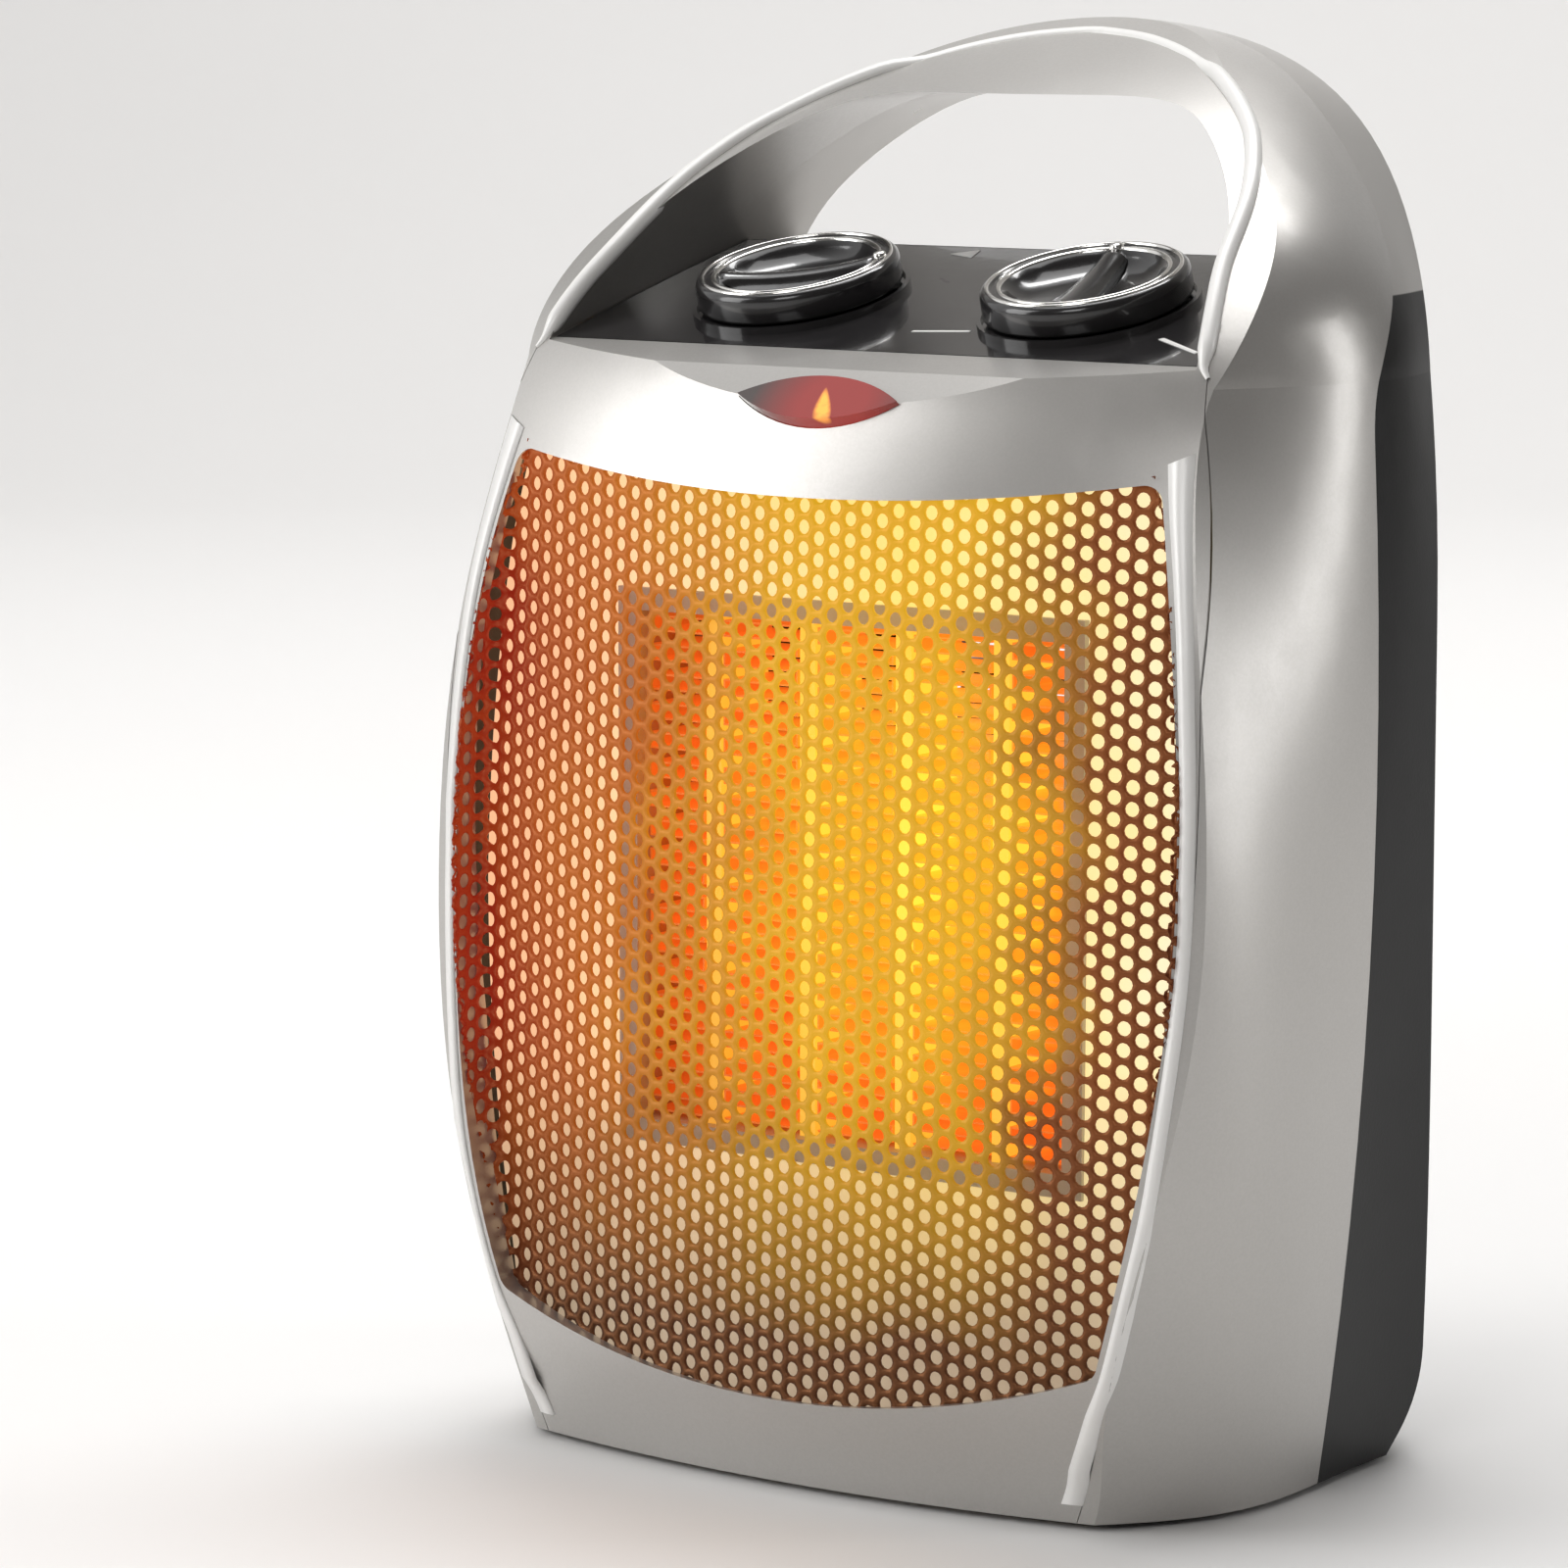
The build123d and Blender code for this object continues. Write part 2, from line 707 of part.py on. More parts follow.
def motor_screws():
    group = Part()
    for side in (-1, 1):
        x = side * (stator_width / 2 - 5)
        z = core_height + 15
        group += rod(2.1, front_bracket_at + bracket + 0.01, rear_bracket_at - 0.01, x, z)
        group += rod(3.6, rear_bracket_at + bracket, rear_bracket_at + bracket + 2.2, x, z)
        group += rod(3.6, front_bracket_at - 2.2, front_bracket_at, x, z)
    return group


def bracket_screws():
    group = Part()
    for side in (-1, 1):
        x = side * (shroud_radius + 4)
        group += rod(1.3, shroud_back - 8, shroud_back + bracket + 0.3, x)
        group += rod(3.0, shroud_back + bracket, shroud_back + bracket + 2, x)
    return group


def housing_screws():
    group = Part()
    for x, z in posts:
        group += rod(screw_radius - 0.2, seam - 12, seam + screw_seat, x, z)
        group += rod(screw_head, seam + screw_seat, seam + screw_seat + 2, x, z)
    return group


base_top = base_height + base_plate_thick
feet = [(side * x, d) for side in (-1, 1) for x, d in ((foot_spread, 34.0), (foot_spread - 6, 90.0))]


def base_plate():
    plate = envelope(wall + seat_gap) & block(-95, 95, 0, depth, base_height, base_top)
    plate -= post(plunger_radius + 0.6, plunger_side, plunger_from_front, 0, 9)
    for x, d in feet:
        plate -= post(foot_radius - 2.5, x, d, 0, 9)
    return plate


def rubber_feet():
    group = Part()
    for x, d in feet:
        group += post(foot_radius, x, d, 0, base_height) + post(foot_radius - 2.5, x, d, base_height, base_top)
    return group


guide_top = base_top + guide_height


def tip_switch_guide():
    outer = post(plunger_radius + 0.6 + guide_wall, plunger_side, plunger_from_front, base_top, guide_top)
    outer += post(plunger_radius + 6, plunger_side, plunger_from_front, base_top, base_top + 1.6)
    outer -= post(plunger_radius + 0.6, plunger_side, plunger_from_front, base_top - 1, guide_top - guide_wall)
    return outer - post(plunger_stem + 0.3, plunger_side, plunger_from_front, base_top, guide_top + 1)


head_top = 7.0


def tip_switch_plunger():
    head = post(plunger_radius, plunger_side, plunger_from_front, 0, head_top)
    return head + post(plunger_stem, plunger_side, plunger_from_front, head_top, guide_top + 4.2)


def tip_switch_spring():
    turns = 5
    low = head_top + 0.5
    tall = guide_top - guide_wall - head_top - 1.0
    path = Pos(plunger_side, at(plunger_from_front), low) * Helix(tall / turns, tall, plunger_radius - 1.2)
    start = Plane(origin=path @ 0, z_dir=path % 0)
    return sweep(start * Circle(0.4), path)


lever_low = guide_top + 4.6
lever_pivot = plunger_side - 13


def micro_switch():
    top = lever_low + 3.4
    d0, d1 = plunger_from_front - 5, plunger_from_front + 5
    case = block(lever_pivot - 18, lever_pivot + 2.2, d0, d1, base_top + 3, top)
    slot = block(lever_pivot - 3.2, lever_pivot + 3, d0 + 1.6, d1 - 1.6, lever_low - 2.4, top + 1)
    foot = block(lever_pivot - 18, lever_pivot - 6, d0, d1, base_top, base_top + 3)
    pin = Pos(lever_pivot, at(plunger_from_front), lever_low + 0.6) * Rot(90, 0, 0) * Cylinder(0.8, 8)
    return case - slot + foot + pin


def switch_lever():
    d0, d1 = plunger_from_front - 2.2, plunger_from_front + 2.2
    arm = block(lever_pivot, plunger_side + 3, d0, d1, lever_low - 0.05, lever_low + 0.75)
    eye = Pos(lever_pivot, at(plunger_from_front), lever_low + 0.6) * Rot(90, 0, 0) * Cylinder(1.8, 4.4)
    bore = Pos(lever_pivot, at(plunger_from_front), lever_low + 0.6) * Rot(90, 0, 0) * Cylinder(0.86, 6)
    return arm + eye - bore


def thermal_cutout():
    top = core_height + heater_tall / 2 + seat_gap + duct_wall
    disc = post(8.0, 18, 47, top, top + 5)
    tabs = [block(x - 1.6, x + 1.6, 46.6, 47.4, top + 5, top + 11) for x in (14, 22)]
    return disc + tabs


def thermal_fuse():
    top = core_height + heater_tall / 2 + seat_gap + duct_wall
    barrel_x = Pos(-30, at(47), top + 2.2) * Rot(0, 90, 0) * Cylinder(2.0, 11)
    leads = Pos(-30, at(47), top + 2.2) * Rot(0, 90, 0) * Cylinder(0.5, 26)
    return barrel_x + leads


def terminal_block():
    floor = base_top
    shape = block(-52, -22, 84, 96, floor, floor + 12)
    for index in range(3):
        shape -= post(2.2, -47 + index * 10, 90, floor + 6, floor + 13)
    return shape


def terminal_screws():
    floor = base_top
    return Part() + [post(2.0, -47 + index * 10, 90, floor + 6, floor + 10.5) for index in range(3)]


def cord_bushing():
    seat = back_radius + 0.1
    flange = cord_rod(cord_hole_radius + 2, seat, seat + 1.7)
    sleeve = cord_rod(cord_hole_radius - 0.1, seat - 12, seat)
    return flange + sleeve - cord_rod(3.4, seat - 15, seat + 4)


def lead(points, radius=1.1):
    """Insulated wire along a short route of straight runs with rounded corners."""
    route = FilletPolyline(*[(x, at(d), z) for x, d, z in points], radius=6)
    start = Plane(origin=route @ 0, z_dir=route % 0)
    return sweep(start * Circle(radius), route)


def internal_leads():
    top = core_height + heater_tall / 2
    under_controls = deck_height - control_depth - 7
    routes = [
        [(-62, 74, base_top + 6), (-62, 74, 100), (-60, 70, 176), (-38, 62, under_controls)],
        [(-57, 90, base_top + 10), (-64, 84, 40), (-64, 84, 120), (-30, 66, under_controls)],
        [(bar_places[3], bar_middle, top + 10), (44, bar_middle + 8, top + 22), (30, 50, under_controls)],
        [(bar_places[0], bar_middle, top + 10), (-44, bar_middle + 8, top + 22), (-24, 50, under_controls)],
    ]
    return Part() + [lead(route) for route in routes]


parts = {
    "front_shell": front_shell(),
    "rear_shell": rear_shell(),
    "front_bezel": front_bezel(),
    "front_grille": front_grille(),
    "indicator_lens": indicator_lens(),
    "indicator_lamp": indicator_lamp(),
    "lamp_holder": lamp_holder(),
    "control_deck": control_deck(),
    "heater_frame": heater_frame(),
    "ceramic_bars": ceramic_bars(),
    "heating_fins": heating_fins(),
    "element_terminals": element_terminals(),
    "air_duct": air_duct(),
    "fan_impeller": fan_impeller(),
    "motor_shaft": motor_shaft(),
    "motor_rotor": motor_rotor(),
    "motor_stator": motor_stator(),
    "motor_coil": motor_coil(),
    "motor_front_bracket": motor_front_bracket(),
    "motor_rear_bracket": motor_rear_bracket(),
    "motor_bearings": motor_bearings(),
    "motor_screws": motor_screws(),
    "bracket_screws": bracket_screws(),
    "housing_screws": housing_screws(),
    "base_plate": base_plate(),
    "rubber_feet": rubber_feet(),
    "tip_switch_guide": tip_switch_guide(),
    "tip_switch_plunger": tip_switch_plunger(),
    "tip_switch_spring": tip_switch_spring(),
    "micro_switch": micro_switch(),
    "switch_lever": switch_lever(),
    "thermal_cutout": thermal_cutout(),
    "thermal_fuse": thermal_fuse(),
    "terminal_block": terminal_block(),
    "terminal_screws": terminal_screws(),
    "cord_bushing": cord_bushing(),
    "internal_leads": internal_leads(),
}
control_sizes = {"thermostat": (30.0, 24.0, 20.0), "mode": (32.0, 32.0, 100.0)}
for name, x in knobs.items():
    wide, long, bar_turn = control_sizes[name]
    parts[f"{name}_knob"] = knob_body(x, bar_turn)
    parts[f"{name}_knob_ring"] = knob_trim(x)
    parts[f"{name}_shaft"] = control_shaft(x)
    parts[f"{name}_control"] = control_body(x, wide, long)

os.makedirs("parts", exist_ok=True)
for name, shape in parts.items():
    export_step(shape, f"parts/{name}.step")
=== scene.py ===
import math

import bpy
from mathutils import Matrix, Vector


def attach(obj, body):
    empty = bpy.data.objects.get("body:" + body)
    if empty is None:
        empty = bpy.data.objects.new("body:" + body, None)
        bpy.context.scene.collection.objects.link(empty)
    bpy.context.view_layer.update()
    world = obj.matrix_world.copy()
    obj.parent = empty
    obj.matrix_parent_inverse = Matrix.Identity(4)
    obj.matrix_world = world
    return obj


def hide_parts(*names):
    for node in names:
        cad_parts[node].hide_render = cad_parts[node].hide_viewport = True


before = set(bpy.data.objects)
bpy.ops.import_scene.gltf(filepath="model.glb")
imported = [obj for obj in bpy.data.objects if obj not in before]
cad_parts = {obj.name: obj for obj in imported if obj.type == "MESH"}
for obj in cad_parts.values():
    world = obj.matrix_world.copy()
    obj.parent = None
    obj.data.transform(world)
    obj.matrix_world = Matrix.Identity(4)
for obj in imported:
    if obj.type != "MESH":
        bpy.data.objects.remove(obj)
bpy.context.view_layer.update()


# ------------------------------------------------------------------ base plate and feet
# The base is a black injection-moulded plate that closes the two shells from below.
# Four soft rubber feet are pressed through holes in it.

class Wire:
    """One shader value.  Sums and products of wires add the Math nodes."""

    def __init__(self, recipe, socket):
        self.recipe = recipe
        self.socket = socket

    def _math(self, operation, *values):
        return self.recipe.node("ShaderNodeMath", {"operation": operation}, dict(enumerate(values)))

    def __add__(self, other):
        return self._math("ADD", self, other)

    __radd__ = __add__

    def __sub__(self, other):
        return self._math("SUBTRACT", self, other)

    def __rsub__(self, other):
        return self._math("SUBTRACT", other, self)

    def __mul__(self, other):
        return self._math("MULTIPLY", self, other)

    __rmul__ = __mul__

    def __truediv__(self, other):
        return self._math("DIVIDE", self, other)

    def clipped(self):
        return self.recipe.node("ShaderNodeClamp", {}, {0: self})


class Recipe:
    """A finish, built from nodes around one Principled surface."""

    def __init__(self, name, **constants):
        self.material = bpy.data.materials.new(name)
        self.material.use_nodes = True
        self.tree = self.material.node_tree
        self.surface = self.tree.nodes["Principled BSDF"]
        self.place = self.node("ShaderNodeTexCoord", {}, {}, "Object")
        self.feed(**constants)

    def node(self, kind, settings, sockets, output=0):
        """Adds a node: its settings first, then the values or links of its sockets."""
        node = self.tree.nodes.new(kind)
        for name, value in settings.items():
            if name == "stops":
                ramp = node.color_ramp
                while len(ramp.elements) < len(value):
                    ramp.elements.new(0.5)
                for element, (position, colour) in zip(ramp.elements, value):
                    element.position = position
                    element.color = (*colour, 1.0)
            else:
                setattr(node, name, value)
        for key, value in sockets.items():
            if isinstance(value, Wire):
                self.tree.links.new(value.socket, node.inputs[key])
            else:
                node.inputs[key].default_value = value
        return Wire(self, node.outputs[output])

    def feed(self, **values):
        """Sets or links sockets of the surface."""
        for name, value in values.items():
            socket = self.surface.inputs[name.replace("_", " ")]
            if isinstance(value, Wire):
                self.tree.links.new(value.socket, socket)
            else:
                socket.default_value = (*value, 1.0) if isinstance(value, tuple) else value

    def noise(self, size, detail=3.0):
        """Soft random value with features of this size in metres."""
        sockets = {"Vector": self.place, "Scale": 1 / size, "Detail": detail}
        return self.node("ShaderNodeTexNoise", {}, sockets)

    def tint(self, amount, first, second):
        """Colour between two colours; either may be a wire."""
        colours = [c if isinstance(c, Wire) else (*c, 1.0) for c in (first, second)]
        sockets = {0: amount, 6: colours[0], 7: colours[1]}
        return self.node("ShaderNodeMix", {"data_type": "RGBA"}, sockets, 2)

    def bump(self, height, depth):
        """Relief of this depth in metres."""
        sockets = {"Height": height, "Distance": depth, "Strength": 1.0}
        self.feed(Normal=self.node("ShaderNodeBump", {}, sockets))

    def axis(self, index):
        """Place along X, Y or Z in metres."""
        return self.node("ShaderNodeSeparateXYZ", {}, {0: self.place}, index)


def moulded(name, colour, worn, roughness, grain=0.0006, relief=0.00003, **constants):
    """Moulded plastic: even colour with faint flow clouds, fine grain and lightly rubbed spots."""
    recipe = Recipe(name, **constants)
    clouds = recipe.noise(0.035, 4.0)
    rubbed = recipe.noise(0.009, 5.0)
    recipe.feed(Base_Color=recipe.tint((clouds * 0.7 + rubbed * 0.3 - 0.25).clipped(), colour, worn))
    recipe.feed(Roughness=roughness + (rubbed - 0.5) * 0.10)
    recipe.bump(recipe.noise(grain, 2.0), relief)
    return recipe


def dress(recipe, *nodes):
    """Gives CAD nodes their finish."""
    for name in nodes:
        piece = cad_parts[name]
        if piece.material_slots:
            for holder in piece.material_slots:
                holder.material = recipe.material
        else:
            piece.data.materials.append(recipe.material)


black_shell = moulded("black_shell", (0.012, 0.012, 0.013), (0.024, 0.023, 0.023), 0.40, IOR=1.5)
dress(black_shell, "base_plate", "cord_bushing")

soft_rubber = moulded("soft_rubber", (0.018, 0.018, 0.018), (0.05, 0.048, 0.045), 0.78, 0.0012, 0.0001)
dress(soft_rubber, "rubber_feet")


# ------------------------------------------------------------------ tip-over switch
# A spring-loaded plunger stands on the floor and holds a lever against a small switch.
# Guide and switch case are nylon; the lever and the spring are plated steel.

nylon = moulded("nylon", (0.045, 0.043, 0.042), (0.09, 0.086, 0.08), 0.5)
dress(nylon, "tip_switch_guide", "micro_switch")

pale_nylon = moulded("pale_nylon", (0.60, 0.57, 0.50), (0.46, 0.42, 0.35), 0.45, Subsurface_Weight=0.1)
dress(pale_nylon, "tip_switch_plunger")


def milled(name, colour, worn, roughness):
    """Bare metal with drawn streaks, small stains and a little tarnish."""
    recipe = Recipe(name, Metallic=1.0)
    stains = recipe.noise(0.006, 5.0)
    stretched = recipe.node(
        "ShaderNodeVectorMath", {"operation": "MULTIPLY"}, {0: recipe.place, 1: (160.0, 5200.0, 160.0)}
    )
    streaks = recipe.node("ShaderNodeTexNoise", {}, {"Vector": stretched, "Scale": 1.0, "Detail": 3.0})
    recipe.feed(Base_Color=recipe.tint((stains * 1.6 - 0.4).clipped(), colour, worn))
    recipe.feed(Roughness=roughness + (stains - 0.5) * 0.16 + (streaks - 0.5) * 0.1)
    recipe.bump(streaks, 0.00002)
    return recipe


plated_steel = milled("plated_steel", (0.60, 0.60, 0.59), (0.42, 0.40, 0.37), 0.34)
dress(plated_steel, "switch_lever", "tip_switch_spring")


# ------------------------------------------------------------------ motor and fan
# A shaded-pole motor: stacked steel sheets, one copper coil, a solid rotor in two bronze bushes.
# Its front bracket screws to the shroud, and the moulded impeller is pressed on the shaft.

dress(plated_steel, "motor_shaft", "motor_rotor", "motor_front_bracket", "motor_rear_bracket")
dress(plated_steel, "motor_screws", "bracket_screws")

stacked_steel = Recipe("stacked_steel", Metallic=0.9)
sheets = stacked_steel.node(
    "ShaderNodeTexWave",
    {"bands_direction": "Y"},
    {"Vector": stacked_steel.place, "Scale": 320.0, "Distortion": 0.4},
)
rust = (stacked_steel.noise(0.008, 5.0) * 2.0 - 0.8).clipped()
stacked_steel.feed(Base_Color=stacked_steel.tint(rust, (0.22, 0.22, 0.23), (0.20, 0.13, 0.09)))
stacked_steel.feed(Roughness=0.42 + rust * 0.3)
stacked_steel.bump(sheets, 0.0001)
dress(stacked_steel, "motor_stator")

copper = Recipe("enamelled_copper", Metallic=0.85, Coat_Weight=0.6, Coat_Roughness=0.2)
turns = copper.node(
    "ShaderNodeTexWave",
    {"bands_direction": "Z"},
    {"Vector": copper.place, "Scale": 420.0, "Distortion": 1.2},
)
copper.feed(Base_Color=copper.tint(turns, (0.28, 0.08, 0.03), (0.62, 0.24, 0.09)))
copper.feed(Roughness=0.3 + turns * 0.2)
copper.bump(turns, 0.0003)
dress(copper, "motor_coil")

bronze = milled("bronze", (0.55, 0.36, 0.16), (0.34, 0.22, 0.11), 0.4)
dress(bronze, "motor_bearings", "terminal_screws", "element_terminals")
dress(nylon, "fan_impeller")


# ------------------------------------------------------------------ duct, heater and glow
# Ceramic bars sit between folded aluminium strips in a pale frame; the fan blows through them.
# The strips and bars carry a painted orange glow, brightest round a point near the heater's middle, and
# light the inside of the housing.

dress(nylon, "air_duct")
dress(pale_nylon, "heater_frame", "terminal_block", "thermostat_control", "mode_control")


def spot(recipe, centre, reach):
    """Falls from 1 at a centre to 0 at these distances from it along X, Y and Z."""
    offset = recipe.node("ShaderNodeVectorMath", {"operation": "SUBTRACT"}, {0: recipe.place, 1: centre})
    scaled = recipe.node("ShaderNodeVectorMath", {"operation": "DIVIDE"}, {0: offset, 1: reach})
    length = recipe.node("ShaderNodeVectorMath", {"operation": "LENGTH"}, {0: scaled}, "Value")
    return (1.0 - length).clipped()


painted_glow_strip = Recipe("painted_glow_strip", Metallic=0.7, Roughness=0.45, Emission_Strength=1.0)
# Painted glow, strongest round this point near the middle of the heater.
painted_heat_glow = spot(painted_glow_strip, (0.012, -0.031, 0.108), (0.075, 0.2, 0.085))
patches = painted_glow_strip.noise(0.012, 3.0)
painted_glow_strip.feed(Base_Color=painted_glow_strip.tint(patches, (0.45, 0.20, 0.07), (0.6, 0.32, 0.1)))
painted_glow_strip.feed(
    Emission_Color=painted_glow_strip.node(
        "ShaderNodeValToRGB",
        {"stops": [(0.0, (0.16, 0.012, 0.002)), (0.45, (0.62, 0.10, 0.008)), (0.85, (0.95, 0.38, 0.015))]},
        {0: (painted_heat_glow * 0.9 + patches * 0.25 - 0.05).clipped()},
    )
)
painted_glow_strip.bump(painted_glow_strip.noise(0.0015), 0.0001)
dress(painted_glow_strip, "heating_fins")

painted_glow_bars = Recipe("painted_glow_bars", Roughness=0.7, Emission_Strength=1.0)
# Painted glow, strongest round this point near the middle of the heater.
painted_heat_glow = spot(painted_glow_bars, (0.012, -0.031, 0.108), (0.08, 0.2, 0.09))
grain = painted_glow_bars.noise(0.002, 4.0)
painted_glow_bars.feed(Base_Color=painted_glow_bars.tint(grain, (0.4, 0.25, 0.1), (0.5, 0.34, 0.16)))
painted_glow_bars.feed(Emission_Color=painted_glow_bars.tint(painted_heat_glow, (0.5, 0.12, 0.004), (1.15, 0.80, 0.06)))
painted_glow_bars.bump(grain, 0.0001)
dress(painted_glow_bars, "ceramic_bars")


# ------------------------------------------------------------------ wiring and safety parts
# Silicone-sleeved leads run up one side to the controls.  A bimetal cut-out and a one-shot
# fuse sit on top of the duct, and the supply leads end in a screw terminal block.

sleeve = moulded("silicone_sleeve", (0.42, 0.06, 0.03), (0.30, 0.05, 0.03), 0.55)
dress(sleeve, "internal_leads")
dress(nylon, "thermal_cutout")
dress(plated_steel, "thermal_fuse", "thermostat_shaft", "mode_shaft")


# ------------------------------------------------------------------ rear shell
# One black moulding: back wall with air slots, sides and the rear half of the handle, which
# is sprayed silver like the front.  Four screws in deep wells pull it to the front shell.

rear_finish = Recipe("rear_shell_finish", Specular_IOR_Level=0.22)
clouds = rear_finish.noise(0.035, 4.0)
rubbed = rear_finish.noise(0.009, 5.0)
sprayed = ((rear_finish.axis(2) - 0.2035) * 4000.0).clipped()
moulding = rear_finish.tint(clouds * rubbed, (0.004, 0.004, 0.004), (0.014, 0.013, 0.013))
rear_finish.feed(Base_Color=rear_finish.tint(sprayed, moulding, (0.47, 0.455, 0.435)))
rear_finish.feed(Metallic=sprayed * 0.72)
rear_finish.feed(Roughness=0.38 - sprayed * 0.08 + (rubbed - 0.5) * 0.1)
rear_finish.bump(rear_finish.noise(0.0006, 2.0), 0.000015)
dress(rear_finish, "rear_shell")
dress(plated_steel, "housing_screws")


# ------------------------------------------------------------------ front shell
# One moulding in pearl silver: both sides, the arms and the front half of the arched handle.
# The plastic holds a fine metal flake, and the screws of the rear shell bite into its posts.

def pearl(name, colour, shade, roughness):
    """Silver plastic with a fine metal flake under a thin clear coat."""
    recipe = Recipe(name, Metallic=0.72, Coat_Weight=0.3, Coat_Roughness=0.15)
    flake = recipe.node("ShaderNodeTexVoronoi", {}, {"Vector": recipe.place, "Scale": 2600.0}, "Color")
    sparkle = recipe.node("ShaderNodeSeparateColor", {}, {0: flake}, 0)
    clouds = recipe.noise(0.05, 3.0)
    rubbed = (recipe.noise(0.012, 5.0) * 2.0 - 1.0).clipped()
    recipe.feed(Base_Color=recipe.tint((clouds * 0.5 + sparkle * 0.3).clipped(), colour, shade))
    recipe.feed(Roughness=roughness + sparkle * 0.04 + rubbed * 0.05)
    recipe.bump(recipe.noise(0.0006, 2.0), 0.000006)
    return recipe


silver_shell = pearl("silver_shell", (0.50, 0.485, 0.465), (0.44, 0.425, 0.405), 0.30)
dress(silver_shell, "front_shell")


# ------------------------------------------------------------------ front bezel
# A silver panel moulded in the same plastic: the lower panel, the frame of the window and the
# fascia with its scoop.  It snaps into the front shell and holds the grille's edge.

dress(silver_shell, "front_bezel")


# ------------------------------------------------------------------ perforated grille
# A stamped steel sheet with round holes in a close-packed pattern, bowed to the front and
# folded forwards along both sides to meet the bezel.  It is clamped behind the window edge.

def metres(x, d, z):
    """Point from its offset across, its distance from the front and its height, in millimetres."""
    return Vector((x * 0.001, (d - 63.0) * 0.001, z * 0.001))


def through(keys, steps):
    """Smooth run of points through the given ones."""
    keys = [Vector(key) for key in keys]
    ends = [2 * keys[0] - keys[1], *keys, 2 * keys[-1] - keys[-2]]
    run = []
    for a, b, c, d in zip(ends, ends[1:], ends[2:], ends[3:]):
        for step in range(steps):
            t = step / steps
            square, cube = (2 * a - 5 * b + 4 * c - d) * t**2, (3 * b - a - 3 * c + d) * t**3
            run.append(0.5 * (2 * b + (c - a) * t + square + cube))
    return run + [keys[-1]]


def mesh_piece(name, points, faces, recipe, body, slot_name, *nodes):
    """Adds a smooth mesh piece that moves with a body and stands for the given CAD nodes."""
    mesh = bpy.data.meshes.new(name)
    mesh.from_pydata([tuple(p) for p in points], [], faces)
    mesh.validate()
    mesh.update()
    for face in mesh.polygons:
        face.use_smooth = True
    piece = bpy.data.objects.new(name, mesh)
    bpy.context.scene.collection.objects.link(piece)
    mesh.materials.append(recipe.material)
    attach(piece, body)
    if nodes:
        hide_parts(*nodes)
    return piece


hole_pitch = 3.62
hole_radius = 1.28
grille_radius = 272.0
grille_mid_height = 93.5
grille_setback = 5.2
grille_lean = math.tan(math.radians(3.1))
window_side = through(
    [(61.5, 14), (63.5, 28), (67.4, 45), (70.4, 60), (72.6, 75), (74.1, 90), (74.7, 105),
     (74.1, 125), (72.2, 145), (69.8, 160), (66.5, 172), (65.0, 180)],
    12,
)


def read_off(line, z):
    """Value of a line of (value, height) points at a height."""
    for low, high in zip(line, line[1:]):
        if low.y <= z <= high.y:
            return low.x + (high.x - low.x) * (z - low.y) / (high.y - low.y)
    return line[0].x if z < line[0].y else line[-1].x


def window_half(z):
    """Half width of the window at a height."""
    return read_off(window_side, z)


window_corner = 70.0       # the top and bottom edges run no further out than this


def window_low(x):
    """Height of the window's sagging bottom edge."""
    return 16.5 + 11.0 * (min(abs(x), window_corner) / 62.0) ** 2


def window_high(x):
    """Height of the window's top edge."""
    return 170.0 + 5.0 * (min(abs(x), window_corner) / 66.0) ** 2


window_edge = through(
    [(8.5, 14), (6.5, 29), (6.3, 55), (6.1, 75), (7.1, 105), (8.6, 125), (10.8, 145), (13.4, 160),
     (16.7, 172), (18.2, 180)],
    12,
)


def edge_distance(z):
    """Distance from the front of the window's side edge at a height."""
    return read_off(window_edge, z)


fold_inset = 2.0           # the sheet starts to fold this far inside the window edge
fold_radius = 1.8
fold_limit = math.radians(84)
edge_gap = 0.8             # the folded rim stops this far behind the front edge of the window
side_gap = 0.15
tuck = 1.0                 # the sheet runs this far past the top and bottom edges


def sheet_distance(x, z):
    """Distance from the front of the bowed, leaning sheet."""
    return grille_setback + x**2 / (2 * grille_radius) + (z - grille_mid_height) * grille_lean


def on_grille(u, v):
    """Place on the folded sheet of a point of the flat pattern, trimmed to the window."""
    side = math.copysign(1.0, u)
    v = min(max(v, window_low(u) - tuck), window_high(u) + tuck)
    flat = window_half(v) - fold_inset
    reach = min(abs(u), flat)
    depth = max(0.2, sheet_distance(flat, v) - edge_distance(v) - edge_gap)
    rest = min(abs(u) - reach, depth + 0.6 * fold_radius)
    angle = min(rest / fold_radius, fold_limit)
    run = max(0.0, rest - fold_radius * fold_limit)
    x = reach + fold_radius * math.sin(angle)
    forward = min(fold_radius * (1 - math.cos(angle)) + run, depth)
    return metres(side * min(x, window_half(v) - side_gap), sheet_distance(reach, v) - forward, v)


column_step = hole_pitch * math.sqrt(3) / 2
cell_half = hole_pitch / 2
column_count, row_count = 26, 52
spill = 3.2                # cells this far past the top and bottom edges are kept, to be trimmed
hole_sides = 12
hexagon = math.pi / 3
points, faces = [], []
for i in range(-column_count, column_count + 1):
    for j in range(2, row_count):
        u = i * column_step
        v = 2.0 + (j + (0.5 if i % 2 else 0.0)) * hole_pitch
        if not window_low(u) - spill < v < window_high(u) + spill:
            continue
        if abs(u) > window_half(v) + sheet_distance(72.0, v) - edge_distance(v) + 1.0:
            continue
        first = len(points)
        turns = [2 * math.pi * k / hole_sides for k in range(hole_sides)]
        for turn in turns:
            rim = cell_half / math.cos(turn % hexagon - hexagon / 2)
            points.append(on_grille(u + rim * math.cos(turn), v + rim * math.sin(turn)))
        for turn in turns:
            points.append(on_grille(u + hole_radius * math.cos(turn), v + hole_radius * math.sin(turn)))
        for k in range(hole_sides):
            m = (k + 1) % hole_sides
            faces.append((first + k, first + m, first + hole_sides + m, first + hole_sides + k))


